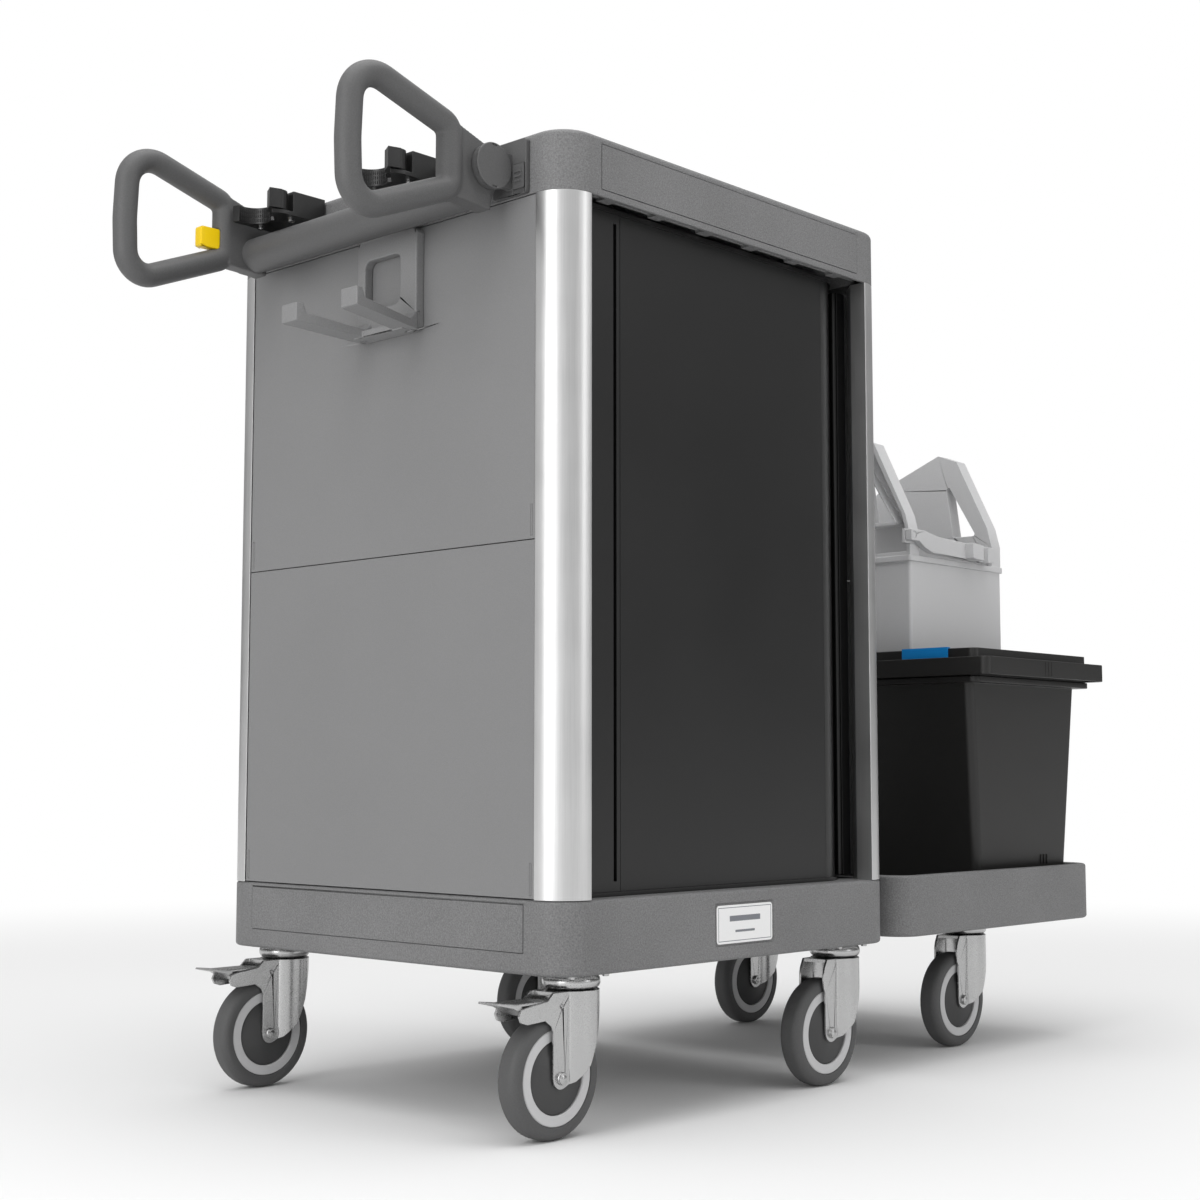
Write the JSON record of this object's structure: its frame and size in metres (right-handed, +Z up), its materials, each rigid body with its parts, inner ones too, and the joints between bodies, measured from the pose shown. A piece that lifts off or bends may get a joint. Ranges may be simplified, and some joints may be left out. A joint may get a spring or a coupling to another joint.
{
  "type": "housekeeping cart",
  "caption": "Shutter-fronted cabinet cart on swivel casters with a tilting push handle, tool clamps, a double hook and a bucket platform carrying a bucket with a mop press.",
  "frame": {"origin": "on the floor under the middle of the whole cart", "axes": "+X towards the bucket platform, -X the push handle end, -Y the shutter side, +Z up"},
  "size_m": [1.3464, 0.566, 1.0715],
  "materials": {
    "moulding": "fine grained grey plastic",
    "panel": "fine grained mid grey plastic",
    "aluminium": "satin anodised",
    "black": "satin black plastic",
    "handle": "grained dark grey plastic",
    "yellow": "yellow plastic",
    "blue": "blue plastic",
    "light_plastic": "light grey plastic",
    "zinc": "bright zinc plated",
    "tyre": "grey non-marking tyre and plastic rim",
    "label": "white printed plate",
    "hook": "grey plastic"
  },
  "bodies": {
    "cart": {"base_tray": "moulding", "base_inset_plates": "moulding", "name_plate": "label", "post_rear_near": "aluminium", "post_rear_far": "aluminium", "post_front_near": "aluminium", "post_front_far": "aluminium", "panel_rear_lower": "panel", "panel_rear_upper": "panel", "panel_front_lower": "panel", "panel_front_upper": "panel", "panel_back_lower": "panel", "panel_back_upper": "panel", "top_frame": "moulding", "top_inset_plates": "moulding", "top_tray": "moulding", "shutter_return": "black", "shutter_tracks": "black", "shutter_pillar": "black", "shutter_liner": "panel", "shelf_lower": "panel", "shelf_upper": "panel", "handle_brackets": "handle", "pivot_caps": "handle", "clamp_near": "black", "clamp_far": "black", "clamp_screws": "zinc", "hook_bracket": "hook", "platform_tray": "moulding", "platform_rails": "zinc", "caster_heads": "zinc"},
    "shutter": {"shutter_lead_bar": "black", "shutter_curtain": "black"},
    "handle": {"handle_bar": "handle", "grip_near": "handle", "grip_far": "handle"},
    "release_lever": {"release_lever": "yellow"},
    "latch_near": {"latch_near": "handle"},
    "latch_far": {"latch_far": "handle"},
    "jaw_near": {"clamp_jaw_near": "black"},
    "jaw_far": {"clamp_jaw_far": "black"},
    "bucket": {"bucket": "black", "bucket_tag": "blue"},
    "press": {"press_frame": "light_plastic"},
    "press_lever": {"press_lever": "light_plastic"},
    "press_plate": {"press_plate": "light_plastic"},
    "swivel_a": {"fork_a": "zinc"},
    "wheel_a": {"wheel_a": "tyre"},
    "swivel_b": {"fork_b": "zinc"},
    "wheel_b": {"wheel_b": "tyre"},
    "swivel_c": {"fork_c": "zinc"},
    "wheel_c": {"wheel_c": "tyre"},
    "swivel_d": {"fork_d": "zinc"},
    "wheel_d": {"wheel_d": "tyre"},
    "swivel_e": {"fork_e": "zinc"},
    "wheel_e": {"wheel_e": "tyre"},
    "swivel_f": {"fork_f": "zinc"},
    "wheel_f": {"wheel_f": "tyre"},
    "pedal_a": {"brake_pedal_a": "zinc"},
    "pedal_b": {"brake_pedal_b": "zinc"}
  },
  "joints": [
    {"name": "shutter_slide", "type": "slide", "parent": "cart", "child": "shutter", "axis": [1, 0, 0], "range_m": [0, 0.352], "deforming": ["shutter_curtain"]},
    {"name": "handle_tilt", "type": "hinge", "parent": "cart", "child": "handle", "pos_m": [-0.47975, 0, 0.996], "axis": [0, 1, 0], "range_deg": [-20, 30]},
    {"name": "lever_press", "type": "slide", "parent": "handle", "child": "release_lever", "axis": [1, 0, 0], "range_m": [0, 0.007], "stiffness_N_per_m": 600, "springref_m": -0.002},
    {"name": "latch_near_slide", "type": "slide", "parent": "cart", "child": "latch_near", "axis": [0, 0, -1], "range_m": [0, 0.005], "stiffness_N_per_m": 400, "springref_m": -0.002},
    {"name": "latch_far_slide", "type": "slide", "parent": "cart", "child": "latch_far", "axis": [0, 0, -1], "range_m": [0, 0.005], "stiffness_N_per_m": 400, "springref_m": -0.002},
    {"name": "jaw_near_turn", "type": "hinge", "parent": "cart", "child": "jaw_near", "pos_m": [-0.50875, -0.09, 1.024], "axis": [0, 0, 1], "range_deg": [0, 35], "stiffness_Nm_per_rad": 0.2, "springref_deg": -5.73},
    {"name": "jaw_far_turn", "type": "hinge", "parent": "cart", "child": "jaw_far", "pos_m": [-0.50875, 0.117, 1.024], "axis": [0, 0, 1], "range_deg": [0, 35], "stiffness_Nm_per_rad": 0.2, "springref_deg": -5.73},
    {"name": "bucket_lift", "type": "slide", "parent": "cart", "child": "bucket", "axis": [0, 0, 1], "range_m": [0, 0.3]},
    {"name": "press_lift", "type": "slide", "parent": "bucket", "child": "press", "axis": [0, 0, 1], "range_m": [0, 0.2]},
    {"name": "press_lever_swing", "type": "hinge", "parent": "press", "child": "press_lever", "pos_m": [0.39625, -0.139, 0.697], "axis": [0, -1, 0], "range_deg": [0, 80]},
    {"name": "press_plate_slide", "type": "slide", "parent": "press", "child": "press_plate", "axis": [0, -1, 0], "range_m": [0, 0.032]},
    {"name": "swivel_a", "type": "hinge", "parent": "cart", "child": "swivel_a", "pos_m": [-0.38875, 0.2385, 0.15], "axis": [0, 0, 1], "continuous": true},
    {"name": "roll_a", "type": "hinge", "parent": "swivel_a", "child": "wheel_a", "pos_m": [-0.42175, 0.2385, 0.0625], "axis": [0, 1, 0], "continuous": true},
    {"name": "swivel_b", "type": "hinge", "parent": "cart", "child": "swivel_b", "pos_m": [-0.38875, -0.2385, 0.15], "axis": [0, 0, 1], "continuous": true},
    {"name": "roll_b", "type": "hinge", "parent": "swivel_b", "child": "wheel_b", "pos_m": [-0.42175, -0.2385, 0.0625], "axis": [0, 1, 0], "continuous": true},
    {"name": "swivel_c", "type": "hinge", "parent": "cart", "child": "swivel_c", "pos_m": [0.06725, -0.2385, 0.15], "axis": [0, 0, 1], "continuous": true},
    {"name": "roll_c", "type": "hinge", "parent": "swivel_c", "child": "wheel_c", "pos_m": [0.03425, -0.2385, 0.0625], "axis": [0, 1, 0], "continuous": true},
    {"name": "swivel_d", "type": "hinge", "parent": "cart", "child": "swivel_d", "pos_m": [0.06725, 0.2385, 0.15], "axis": [0, 0, 1], "continuous": true},
    {"name": "roll_d", "type": "hinge", "parent": "swivel_d", "child": "wheel_d", "pos_m": [0.03425, 0.2385, 0.0625], "axis": [0, 1, 0], "continuous": true},
    {"name": "swivel_e", "type": "hinge", "parent": "cart", "child": "swivel_e", "pos_m": [0.45025, 0.178, 0.15], "axis": [0, 0, 1], "continuous": true},
    {"name": "roll_e", "type": "hinge", "parent": "swivel_e", "child": "wheel_e", "pos_m": [0.41725, 0.178, 0.0625], "axis": [0, 1, 0], "continuous": true},
    {"name": "swivel_f", "type": "hinge", "parent": "cart", "child": "swivel_f", "pos_m": [0.45025, -0.178, 0.15], "axis": [0, 0, 1], "continuous": true},
    {"name": "roll_f", "type": "hinge", "parent": "swivel_f", "child": "wheel_f", "pos_m": [0.41725, -0.178, 0.0625], "axis": [0, 1, 0], "continuous": true},
    {"name": "pedal_a_press", "type": "hinge", "parent": "swivel_a", "child": "pedal_a", "pos_m": [-0.42175, 0.2385, 0.1333], "axis": [0, -1, 0], "range_deg": [0, 12]},
    {"name": "pedal_b_press", "type": "hinge", "parent": "swivel_b", "child": "pedal_b", "pos_m": [-0.42175, -0.2385, 0.1333], "axis": [0, -1, 0], "range_deg": [0, 12]}
  ],
  "couplings": [
    {"joint": "press_plate_slide", "follows": "press_lever_swing", "m_per_rad": 0.022918}
  ]
}
